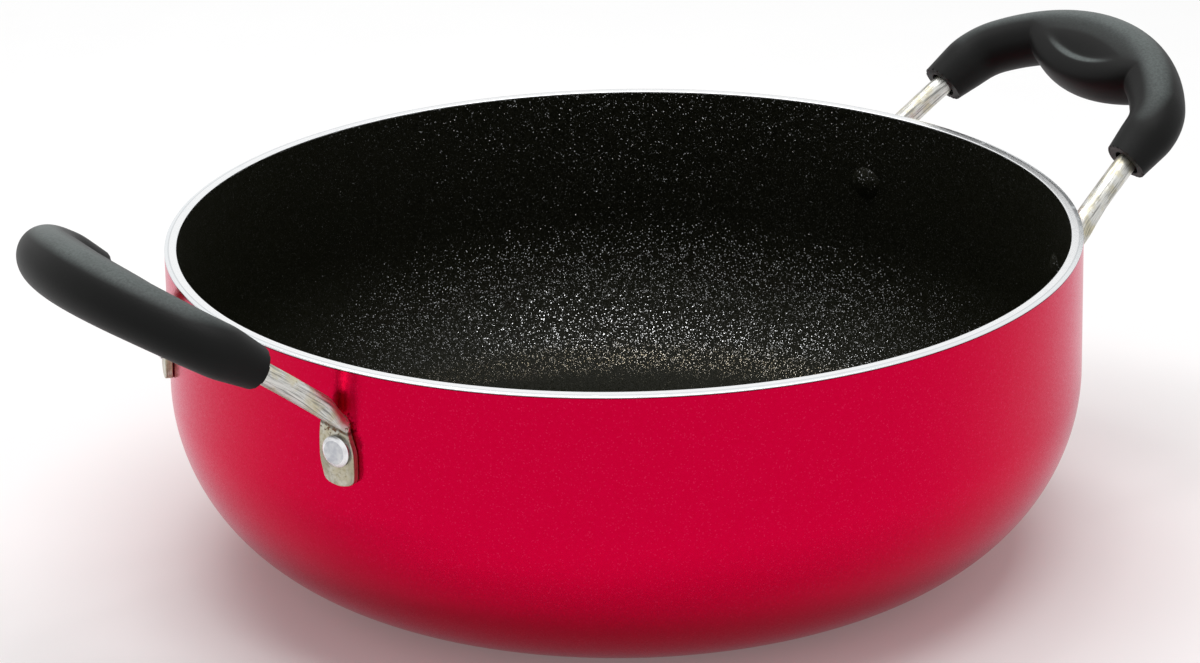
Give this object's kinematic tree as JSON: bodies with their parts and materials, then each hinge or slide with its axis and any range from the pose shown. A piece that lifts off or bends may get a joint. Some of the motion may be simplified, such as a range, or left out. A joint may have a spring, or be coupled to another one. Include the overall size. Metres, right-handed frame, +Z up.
{
  "type": "kadai",
  "caption": "Deep flat-based kadai with an upright wall, a non-stick inside, a metallic red outside and looped side handles with contoured grips.",
  "frame": {"origin": "centre of the flat base, on its underside", "axes": "+Z up through the pan's mouth, +X along the line through both handles, +Y across it"},
  "size_m": [0.3636, 0.26, 0.125],
  "materials": {
    "pan_lacquer": "aluminium with metallic crimson lacquer outside, flecked black non-stick inside and a bare turned rim",
    "rod_steel": "nickel-plated steel, faintly drawn along its length, with a few rust specks",
    "grip_plastic": "charcoal moulded plastic with a fine grain",
    "screw_steel": "zinc-plated steel",
    "rivet_aluminium": "bright aluminium outside, coated black with the pan inside"
  },
  "bodies": {
    "root": {"pan_body": "pan_lacquer", "handle_rod_right": "rod_steel", "grip_upper_right": "grip_plastic", "grip_lower_right": "grip_plastic", "grip_screw_rear_right": "screw_steel", "grip_screw_front_right": "screw_steel", "rivet_rear_right": "rivet_aluminium", "rivet_front_right": "rivet_aluminium", "handle_rod_left": "rod_steel", "grip_upper_left": "grip_plastic", "grip_lower_left": "grip_plastic", "grip_screw_rear_left": "screw_steel", "grip_screw_front_left": "screw_steel", "rivet_rear_left": "rivet_aluminium", "rivet_front_left": "rivet_aluminium"}
  },
  "joints": []
}
